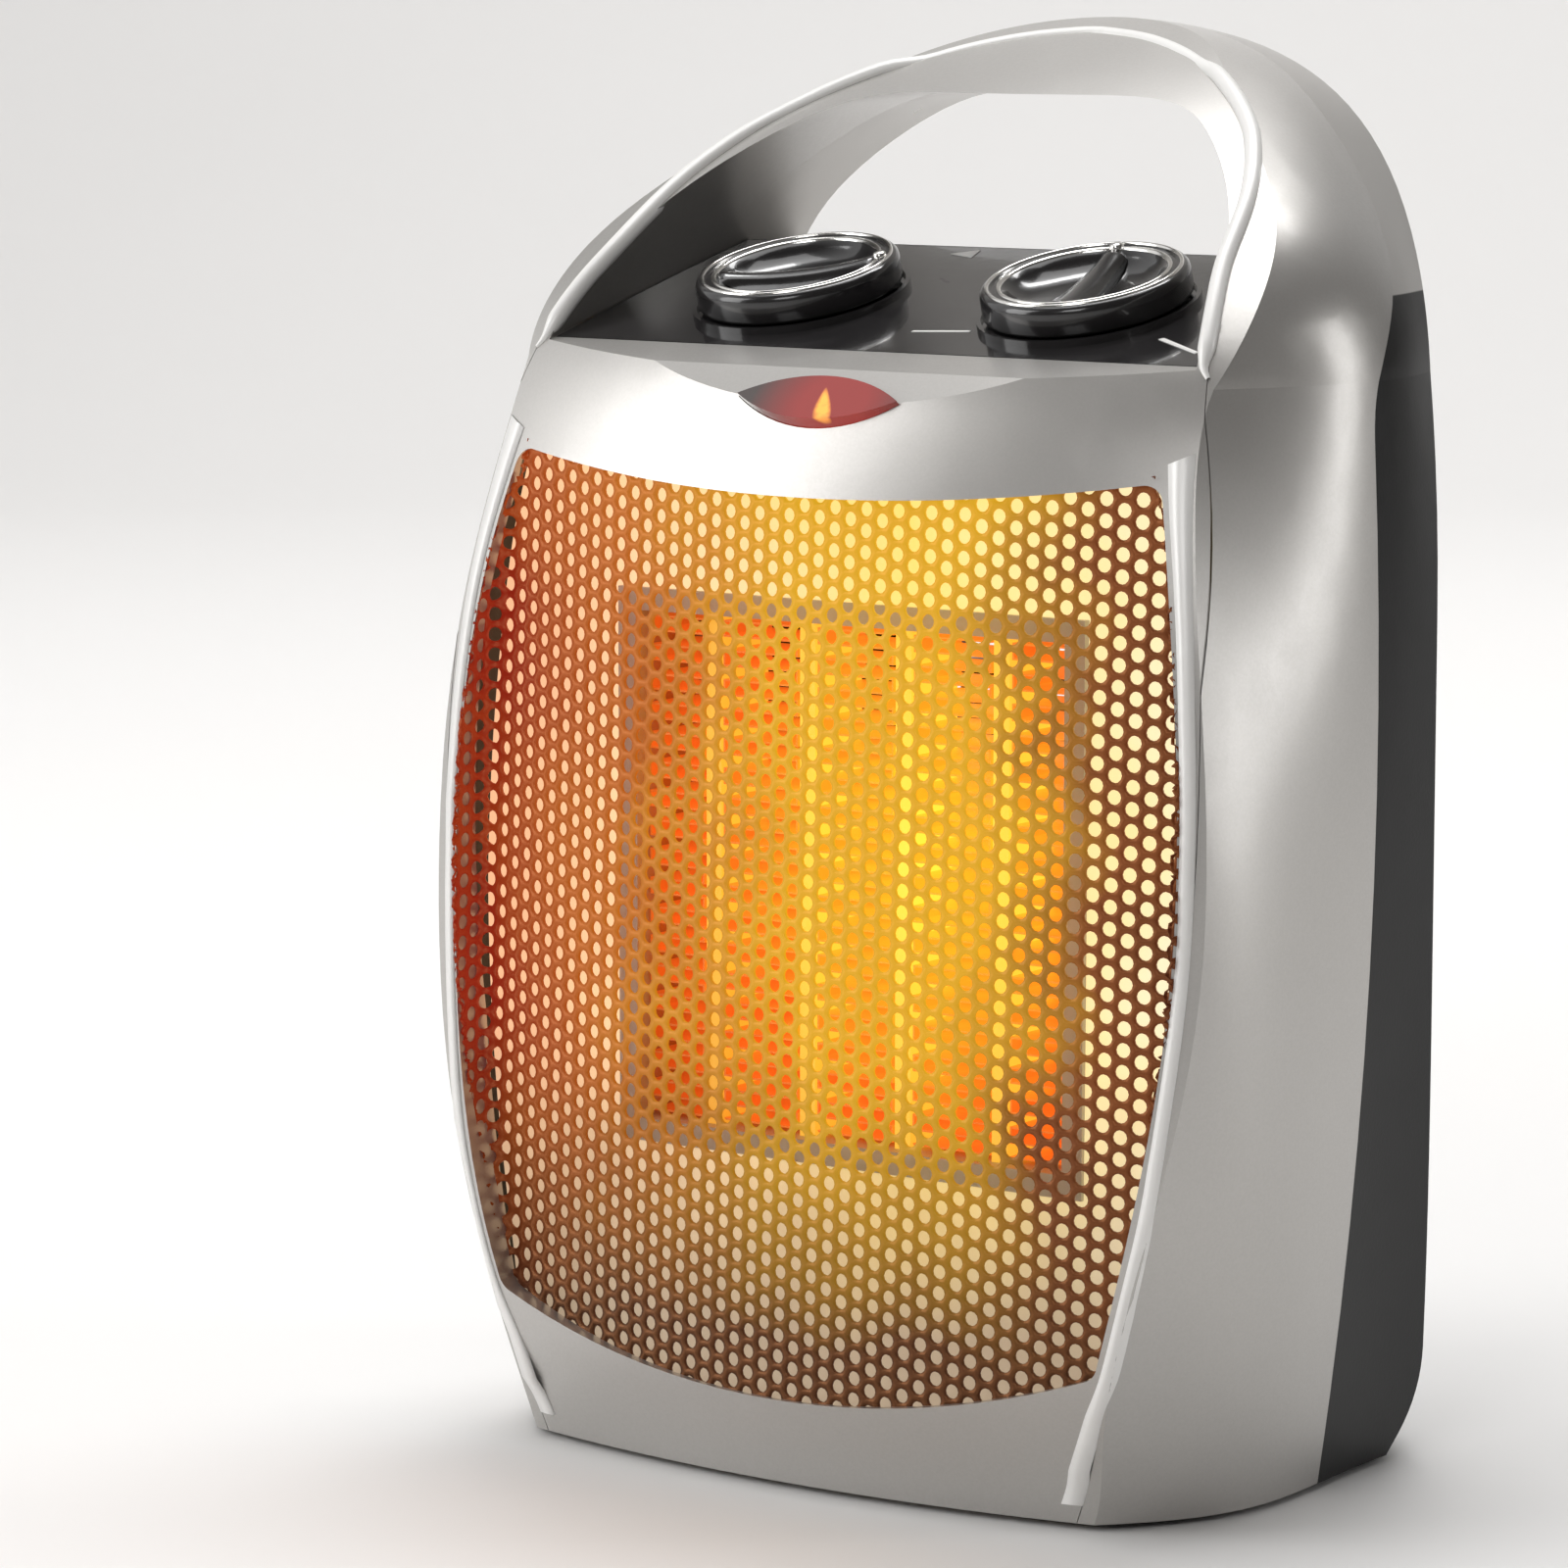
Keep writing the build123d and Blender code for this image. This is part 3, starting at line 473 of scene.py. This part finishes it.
def painted_glow_map(recipe, stops, low_colour):
    """Painted glow: colour that runs from side to side by these stops, and fades to another at the bottom.
    """
    sideways = recipe.node(
        "ShaderNodeValToRGB",
        {"stops": stops},
        {0: (recipe.axis(0) / 0.15 + 0.5 + (recipe.noise(0.03, 3.0) - 0.5) * 0.3).clipped()},
    )
    rise = ((recipe.axis(2) - 0.026) / 0.05 + (recipe.noise(0.02, 3.0) - 0.5) * 0.4).clipped()
    return recipe.tint(rise, low_colour, sideways)


painted_glow_sheet = Recipe("painted_glow_sheet", Metallic=0.9, Emission_Strength=1.0)
stain = painted_glow_sheet.noise(0.004, 4.0)
painted_glow_sheet.feed(Base_Color=painted_glow_sheet.tint(stain, (0.10, 0.04, 0.016), (0.17, 0.07, 0.028)))
painted_glow_sheet.feed(Roughness=0.36 + stain * 0.16)
# Painted glow of the heater on the sheet: gold in the middle, red towards -X, dark towards +X and at the
# bottom.
painted_glow_sheet.feed(
    Emission_Color=painted_glow_map(
        painted_glow_sheet,
        [(0.0, (0.22, 0.010, 0.004)), (0.25, (0.40, 0.10, 0.008)), (0.5, (0.66, 0.36, 0.012)),
         (0.72, (0.66, 0.36, 0.012)), (0.88, (0.12, 0.028, 0.006)), (1.0, (0.04, 0.008, 0.003))],
        (0.008, 0.003, 0.002),
    )
)
painted_glow_sheet.bump(stain, 0.00003)
sheet = mesh_piece("grille_sheet", points, faces, painted_glow_sheet, "housing", "grille_steel", "front_grille")
weld = sheet.modifiers.new("joined", "WELD")
weld.merge_threshold = 0.00005
thick = sheet.modifiers.new("thickness", "SOLIDIFY")
thick.thickness = 0.0007
thick.offset = -1.0


# ------------------------------------------------------------------ painted glow dish
# A pale dished sheet around the heater closes the space behind the grille.  Its emission is
# painted glow, weaker towards the bottom, so the holes look bright beside the element too.

painted_glow_dish = Recipe("painted_glow_dish", Metallic=0.2, Roughness=0.45, Emission_Strength=1.0)
patches = painted_glow_dish.noise(0.01, 3.0)
painted_glow_dish.feed(Base_Color=painted_glow_dish.tint(patches, (0.30, 0.24, 0.17), (0.40, 0.33, 0.23)))
# Painted glow from the heater, weaker towards the bottom.
painted_glow_dish.feed(
    Emission_Color=painted_glow_map(
        painted_glow_dish,
        [(0.0, (0.92, 0.50, 0.28)), (0.3, (0.95, 0.66, 0.34)), (0.6, (0.95, 0.68, 0.16)),
         (0.85, (0.95, 0.78, 0.38)), (1.0, (0.95, 0.86, 0.62))],
        (0.34, 0.27, 0.19),
    )
)
painted_glow_dish.bump(patches, 0.0001)
heater_centre, heater_half_tall, heater_half_wide = 102.0, 48.0, 47.6
heater_face = 22.5         # from the front
dish_low, dish_high = 14.0, 176.0
dish_gap = 2.2             # behind the grille
dish_sag = Vector((0, 0.004, 0))
dish_points = 160
outer_rim, inner_rim = [], []
for k in range(dish_points):
    turn = 2 * math.pi * (k + 0.5) / dish_points
    across, rise = math.cos(turn), math.sin(turn)
    scale = 1 / max(abs(across), abs(rise))
    near_x = heater_half_wide * across * scale
    near_z = heater_centre + heater_half_tall * rise * scale
    far_z = min(max(96.0 + 84.0 * rise * scale, dish_low), dish_high)
    far_x = (window_half(far_z) + 0.5) * max(-1.0, min(1.0, across * scale))
    inner_rim.append(metres(near_x, heater_face, near_z))
    outer_rim.append(metres(far_x, sheet_distance(far_x, far_z) + dish_gap, far_z))
middle = [a.lerp(b, 0.5) + dish_sag for a, b in zip(inner_rim, outer_rim)]
points = inner_rim + middle + outer_rim
faces = []
for row in (0, dish_points):
    for k in range(dish_points):
        m = (k + 1) % dish_points
        faces.append((row + k, row + m, row + dish_points + m, row + dish_points + k))
mesh_piece("painted_glow_backing", points, faces, painted_glow_dish, "housing", "fin_aluminium")


# ------------------------------------------------------------------ bright edges
# Two bevelled stripes run down beside the window and a rounded bead follows the front rim of
# the handle.  Both are moulded edges that catch the light; their colour, far whiter than the silver shell,
# is a painted highlight.

# Painted highlight: a near-white colour where the edges catch the light.
painted_highlight_edge = moulded(
    "painted_highlight_edge", (0.84, 0.83, 0.81), (0.74, 0.73, 0.71), 0.34, 0.0006, 0.000006, Metallic=0.1
)


def seated(x, z, lift, *nodes):
    """Point in front of the foremost of these pieces at a place in the front view."""
    start = Vector((x * 0.001, -0.3, z * 0.001))
    best = None
    for name in nodes:
        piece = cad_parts[name]
        turn = piece.matrix_world.inverted()
        hit, place, _, _ = piece.ray_cast(turn @ start, (turn.to_3x3() @ Vector((0, 1, 0))).normalized())
        if hit:
            place = piece.matrix_world @ place
            if best is None or place.y < best.y:
                best = place
    return None if best is None else best - Vector((0, lift * 0.001, 0))


inner_line = through(
    [(53.2, 4.5), (55.6, 10.0), (59.4, 20.0), (63.4, 29.0), (68.0, 45.0), (70.9, 58.0), (73.2, 75.0),
     (74.6, 90.0), (75.2, 105.0), (74.6, 125.0), (72.8, 145.0), (70.8, 158.0), (68.2, 170.0), (66.4, 178.0)],
    8,
)
outer_line = through(
    [(57.2, 4.5), (59.2, 10.0), (62.6, 20.0), (66.2, 29.0), (70.6, 45.0), (73.4, 58.0), (75.6, 75.0),
     (77.0, 90.0), (77.6, 105.0), (77.3, 125.0), (75.7, 145.0), (74.0, 158.0), (72.2, 170.0), (70.8, 180.0)],
    8,
)
bevel = ((0.0, -0.4), (0.04, 0.2), (0.5, 0.4), (0.96, 0.2), (1.0, -0.4))
smoothing_passes = 12
stripe_points, stripe_faces = [], []
for side in (-1, 1):
    rows = []
    for inner, outer in zip(inner_line, outer_line):
        row = []
        for share, lift in bevel:
            place = inner.lerp(outer, share)
            row.append(seated(side * place.x, place.y, lift, "front_bezel", "front_shell"))
        if None not in row:
            rows.append(row)
    for _ in range(smoothing_passes):
        for before, row, after in zip(rows, rows[1:], rows[2:]):
            for a, point, b in zip(before, row, after):
                point.y = min(point.y, (a.y + 2 * point.y + b.y) / 4)
    first, width = len(stripe_points), len(bevel)
    stripe_points += [point for row in rows for point in row]
    for r in range(len(rows) - 1):
        for k in range(width - 1):
            a = first + width * r + k
            b = a + width
            stripe_faces.append((a, a + 1, b + 1, b) if side > 0 else (a, b, b + 1, a + 1))
mesh_piece("side_stripes", stripe_points, stripe_faces, painted_highlight_edge, "housing", "silver_plastic")

rim_line = through(
    [(68.3, 25.5, 191.5), (67.2, 28.8, 198.4), (65.0, 34.7, 204.6), (62.7, 41.0, 210.0), (58.9, 55.2, 220.0),
     (51.6, 67.9, 229.2), (41.3, 78.4, 236.2), (29.0, 88.0, 241.0), (14.0, 95.6, 244.4), (0.0, 98.8, 245.6)],
    8,
)
rim_line = [tuple(point) for point in rim_line]
rim_line += [(-x, d, z) for x, d, z in reversed(rim_line[:-1])]
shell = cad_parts["front_shell"]
to_shell = shell.matrix_world.inverted()
bead_line = []
for place in rim_line:
    nearest = shell.closest_point_on_mesh(to_shell @ metres(*place))[1]
    bead_line.append(shell.matrix_world @ nearest)
for _ in range(3):
    middle = [(a + 2 * b + c) / 4 for a, b, c in zip(bead_line, bead_line[1:], bead_line[2:])]
    bead_line = [bead_line[0], *middle, bead_line[-1]]
bead_radius = 0.0016
bead_sides = 10
last = len(bead_line) - 1
bead_points, bead_faces = [], []
for k, centre in enumerate(bead_line):
    along = (bead_line[min(k + 1, last)] - bead_line[max(k - 1, 0)]).normalized()
    across = along.cross(Vector((0, 1, 0))).normalized()
    upright = across.cross(along).normalized()
    taper = min(1.0, 0.25 + 0.12 * min(k, last - k))
    for m in range(bead_sides):
        turn = 2 * math.pi * m / bead_sides
        swing = across * math.cos(turn) + upright * math.sin(turn)
        bead_points.append(centre + bead_radius * taper * swing)
for row in range(0, last * bead_sides, bead_sides):
    for m in range(bead_sides):
        n = (m + 1) % bead_sides
        bead_faces.append((row + m, row + n, row + bead_sides + n, row + bead_sides + m))
mesh_piece("rim_bead", bead_points, bead_faces, painted_highlight_edge, "housing", "silver_plastic")


# ------------------------------------------------------------------ indicator lens and lamp
# An almond of see-through red plastic pressed into the fascia, with a neon lamp behind it.

# The lamp's light on the lens is painted: an orange flame shape and a red halo in its emission, and the lens
# itself red only round the halo, dull grey elsewhere.
lens_glow = Recipe("red_lens", Roughness=0.08, Coat_Weight=1.0, Coat_Roughness=0.03, Emission_Strength=1.0)
streak = lens_glow.noise(0.0014, 2.0)
side_place, height_place = lens_glow.axis(0), lens_glow.axis(2)
flame_width = 0.0012 + (0.1862 - height_place) * 0.30
sideways = (side_place + height_place * 0.5 - 0.0950) / flame_width
upwards = (height_place - 0.1852) / 0.0026
flame = (1.3 - sideways * sideways - upwards * upwards).clipped()
painted_halo = spot(lens_glow, (0.0040, -0.0500, 0.1855), (0.017, 0.03, 0.013))
painted_lit_red = lens_glow.tint((painted_halo * 2.0).clipped(), (0.04, 0.026, 0.022), (0.10, 0.003, 0.002))
lens_glow.feed(Base_Color=painted_lit_red)
painted_red_glow = lens_glow.tint((painted_halo * 1.6).clipped(), (0.004, 0.001, 0.001), (0.24, 0.008, 0.003))
painted_flame_glow = (flame * (0.5 + streak)).clipped()
lens_glow.feed(Emission_Color=lens_glow.tint(painted_flame_glow, painted_red_glow, (1.5, 0.62, 0.06)))
lens_glow.bump(streak, 0.00001)
dress(lens_glow, "indicator_lens")
dress(nylon, "lamp_holder")
lamp_glass = Recipe("lamp_glass", Roughness=0.1, Emission_Strength=2.0)
fog = lamp_glass.noise(0.002, 2.0)
lamp_glass.feed(Base_Color=lamp_glass.tint(fog, (1.0, 0.5, 0.2), (0.9, 0.35, 0.1)))
lamp_glass.feed(Emission_Color=lamp_glass.tint(fog, (1.0, 0.35, 0.05), (1.0, 0.2, 0.02)))
dress(lamp_glass, "indicator_lamp")


# ------------------------------------------------------------------ control deck
# A sloping plate in polished black, dropped in from above, with a raised collar round each
# knob.  Small white marks are pad-printed on it.

deck_gloss = moulded(
    "deck_gloss", (0.016, 0.015, 0.016), (0.03, 0.028, 0.028), 0.14, 0.002, 0.00002, Coat_Weight=0.6
)
dress(deck_gloss, "control_deck")
deck_slope = math.radians(16.0)
deck_origin = metres(0, 50.9, 200.2)
deck_turn = Matrix.Translation(deck_origin) @ Matrix.Rotation(deck_slope, 4, "X")


def on_deck(x, y, h):
    """Place of a point given across, up the slope and above the deck, in millimetres."""
    return deck_turn @ Vector((x * 0.001, y * 0.001, h * 0.001))


white_print = moulded("white_print", (0.78, 0.77, 0.75), (0.62, 0.6, 0.57), 0.5)
marks = [
    [(-15.6, 26.2), (-10.2, 24.6), (-10.8, 28.6)],
    [(7.0, 25.6), (10.4, 25.8), (10.4, 26.8), (7.0, 26.6)],
    [(22.6, 26.2), (27.6, 26.4), (27.6, 27.4), (22.6, 27.2)],
    [(51.5, -12.6), (52.2, -11.9), (62.6, -17.9), (62.2, -18.6)],
    [(2.6, -14.2), (2.8, -13.6), (13.8, -12.4), (13.8, -13.0)],
]
points, faces = [], []
for outline in marks:
    first, count = len(points), len(outline)
    points += [on_deck(x, y, 0.12) for x, y in outline] + [on_deck(x, y, -0.1) for x, y in outline]
    faces.append(tuple(range(first, first + count)))
    for k in range(count):
        m = (k + 1) % count
        faces.append((first + k, first + count + k, first + count + m, first + m))
printed = mesh_piece("deck_marks", points, faces, white_print, "housing", "deck_plastic")
for face in printed.data.polygons:
    face.use_smooth = False


# ------------------------------------------------------------------ knobs
# Each knob is a glossy black drum with a dished face, a finger bar across the dish and two
# thin plated rings let into the rim.  It pushes onto a shaft with a flat.

knob_gloss = moulded(
    "knob_gloss", (0.012, 0.0115, 0.012), (0.024, 0.022, 0.022), 0.2, 0.0015, 0.00002, Coat_Weight=0.5
)
plated = milled("plated_ring", (0.86, 0.85, 0.83), (0.7, 0.68, 0.64), 0.16)


def turned(profile, centre_x, centre_y=0.0, segments=96):
    """Rings of points for a round piece on the deck, from (radius, height) pairs."""
    turns = [2 * math.pi * k / segments for k in range(segments)]
    return [
        [on_deck(centre_x + radius * math.cos(t), centre_y + radius * math.sin(t), height) for t in turns]
        for radius, height in profile
    ]


def closed_grid(rows):
    """Points and faces of rings that follow each other."""
    points = [p for row in rows for p in row]
    width = len(rows[0])
    faces = []
    for r in range(len(rows) - 1):
        for k in range(width):
            m = (k + 1) % width
            faces.append((r * width + k, r * width + m, (r + 1) * width + m, (r + 1) * width + k))
    return points, faces


drum_profile = [
    (3.4, 1.2), (17.2, 1.2), (17.9, 1.35), (18.2, 1.8), (18.2, 5.0), (18.05, 5.8), (17.6, 6.35),
    (17.0, 6.5), (16.4, 6.45), (16.1, 6.2), (15.9, 6.25), (15.0, 6.35), (14.2, 6.1), (13.4, 5.2),
    (12.4, 4.2), (10.5, 3.3), (8.0, 2.75), (5.0, 2.5), (2.0, 2.42), (0.05, 2.4),
]
ring_profiles = [
    [(17.15, 6.4), (17.1, 6.75), (16.8, 6.85), (16.45, 6.75), (16.4, 6.3)],
    [(15.2, 6.2), (15.1, 6.55), (14.7, 6.6), (14.3, 6.35), (14.2, 5.9)],
]
bar_reach = 13.9
bar_steps = 24
crest_flat, crest_shoulder, crest_drop = 0.35, 0.72, 0.6


def finger_bar(centre_x, turn):
    """Points and faces of the bar across the dish: broad in the middle, higher at its ends."""
    rows = []
    for step in range(bar_steps + 1):
        s = abs(-1 + 2 * step / bar_steps)
        along = bar_reach * (-1 + 2 * step / bar_steps)
        crest = 5.2 + 1.2 * s**2.2
        half = 1.25 + 1.9 * math.sqrt(1 - s**2) + 0.9 * s**3
        foot = 2.3 + 3.4 * s**3
        right = [(half * crest_flat, crest), (half * crest_shoulder, crest - crest_drop), (half, foot)]
        section = [(-across, height) for across, height in reversed(right)] + right
        rows.append([
            on_deck(
                centre_x + along * math.cos(turn) - across * math.sin(turn),
                along * math.sin(turn) + across * math.cos(turn),
                height,
            )
            for across, height in section
        ])
    points = [point for row in rows for point in row]
    width = len(rows[0])
    faces = [tuple(range(width)), tuple(reversed(range(len(points) - width, len(points))))]
    for start in range(0, bar_steps * width, width):
        for k in range(start, start + width - 1):
            faces.append((k, k + width, k + width + 1, k + 1))
    return points, faces


pointer_profile = [(1.25, 6.1), (1.2, 6.8), (0.9, 7.1), (0.02, 7.2)]
pointer_reach = 15.0
pointer_sides = 24
for dial, centre_x, turn in (("thermostat", -30.0, math.radians(24)), ("mode", 30.0, math.radians(100))):
    body = dial + "_dial"
    points, faces = closed_grid(turned(drum_profile, centre_x))
    bar_points, bar_faces = finger_bar(centre_x, turn)
    faces += [tuple(index + len(points) for index in face) for face in bar_faces]
    points += bar_points
    mesh_piece(dial + "_grip", points, faces, knob_gloss, body, "knob_plastic", dial + "_knob")
    for number, profile in enumerate(ring_profiles):
        points, faces = closed_grid(turned(profile, centre_x))
        name = f"{dial}_ring_{number}"
        mesh_piece(name, points, faces, plated, body, "plated_trim", dial + "_knob_ring")
    tip_x = centre_x + pointer_reach * math.cos(turn)
    tip_y = pointer_reach * math.sin(turn)
    points, faces = closed_grid(turned(pointer_profile, tip_x, tip_y, pointer_sides))
    mesh_piece(dial + "_pointer", points, faces, plated, body, "plated_trim")


# ------------------------------------------------------------------ setting
# A plain pale floor that curves up behind the heater, large soft lamps with darker gaps between
# them, a sky that is darker to the right, and the camera.

floor_paint = Recipe("floor_paint", Roughness=0.6)
pale = floor_paint.tint(floor_paint.noise(0.5), (0.80, 0.79, 0.78), (0.83, 0.82, 0.81))
floor_paint.feed(Base_Color=pale)
floor_mesh = bpy.data.meshes.new("floor")
bend_start, bend_radius, backdrop_top = 1.8, 1.2, 3.2
profile = [(-4.0, 0.0), (bend_start, 0.0)]
for degrees in range(5, 95, 5):
    bend = math.radians(degrees)
    profile.append((bend_start + bend_radius * math.sin(bend), bend_radius * (1 - math.cos(bend))))
profile.append((bend_start + bend_radius, backdrop_top))
backwards, sideways = Vector((-0.58, 0.81, 0.0)), Vector((0.81, 0.58, 0.0))
sweep = []
for reach, rise in profile:
    for width in (-3.0, 2.2):
        sweep.append(backwards * reach + sideways * width + Vector((0.0, 0.0, rise)))
floor_faces = [(2 * k, 2 * k + 1, 2 * k + 3, 2 * k + 2) for k in range(len(profile) - 1)]
floor_mesh.from_pydata([tuple(p) for p in sweep], [], floor_faces)
for face in floor_mesh.polygons:
    face.use_smooth = True
floor_mesh.materials.append(floor_paint.material)
floor = bpy.data.objects.new("floor", floor_mesh)
bpy.context.scene.collection.objects.link(floor)

world = bpy.data.worlds.new("studio")
bpy.context.scene.world = world
world.use_nodes = True
sky = world.node_tree
aim = sky.nodes.new("ShaderNodeTexCoord")
facing = sky.nodes.new("ShaderNodeVectorMath")
facing.operation = "DOT_PRODUCT"
facing.inputs[1].default_value = (-0.84, 0.45, 0.30)
shades = sky.nodes.new("ShaderNodeValToRGB")
shades.color_ramp.elements[0].position = 0.2
shades.color_ramp.elements[0].color = (0.13, 0.125, 0.12, 1.0)
shades.color_ramp.elements[1].position = 0.75
shades.color_ramp.elements[1].color = (1.0, 1.0, 1.0, 1.0)
sky.links.new(aim.outputs["Generated"], facing.inputs[0])
sky.links.new(facing.outputs["Value"], shades.inputs[0])
sky.links.new(shades.outputs[0], sky.nodes["Background"].inputs["Color"])
sky.nodes["Background"].inputs["Strength"].default_value = 0.85


def look_at(position, target):
    """Turn of a lamp or camera that stands at a place and looks at another."""
    return (Vector(target) - Vector(position)).to_track_quat("-Z", "Y").to_euler()


def soft_lamp(name, position, target, size, power):
    """Adds a rectangular lamp that shines at a place."""
    lamp = bpy.data.lights.new(name, "AREA")
    lamp.shape = "RECTANGLE"
    lamp.size, lamp.size_y = size
    lamp.energy = power
    holder = bpy.data.objects.new(name, lamp)
    holder.location = position
    holder.rotation_euler = look_at(position, target)
    bpy.context.scene.collection.objects.link(holder)


soft_lamp("lamp_left", (-1.1, -1.0, 0.7), (0, 0, 0.12), (0.8, 1.2), 11)
soft_lamp("lamp_front", (0.35, -1.5, 0.9), (0, 0, 0.12), (0.6, 0.6), 4.5)
soft_lamp("lamp_top", (-0.1, 0.1, 1.4), (0, 0, 0.15), (1.0, 0.8), 6.5)
soft_lamp("lamp_right", (1.2, 0.75, 0.45), (0, 0, 0.12), (0.25, 0.9), 3)
soft_lamp("lamp_backdrop", (-0.2, 1.0, 2.2), (-1.3, 2.0, 0.3), (1.6, 0.8), 45)

camera = bpy.data.cameras.new("camera")
camera.lens = 142.1
camera.sensor_width = 36.0
camera.clip_start, camera.clip_end = 0.05, 20.0
stand = bpy.data.objects.new("camera", camera)
stand.location = (0.6020, -0.8987, 0.2632)
stand.rotation_euler = look_at(stand.location, (0.0002, -0.0597, 0.1219))
bpy.context.scene.collection.objects.link(stand)
bpy.context.scene.camera = stand
bpy.context.scene.view_settings.view_transform = "Standard"
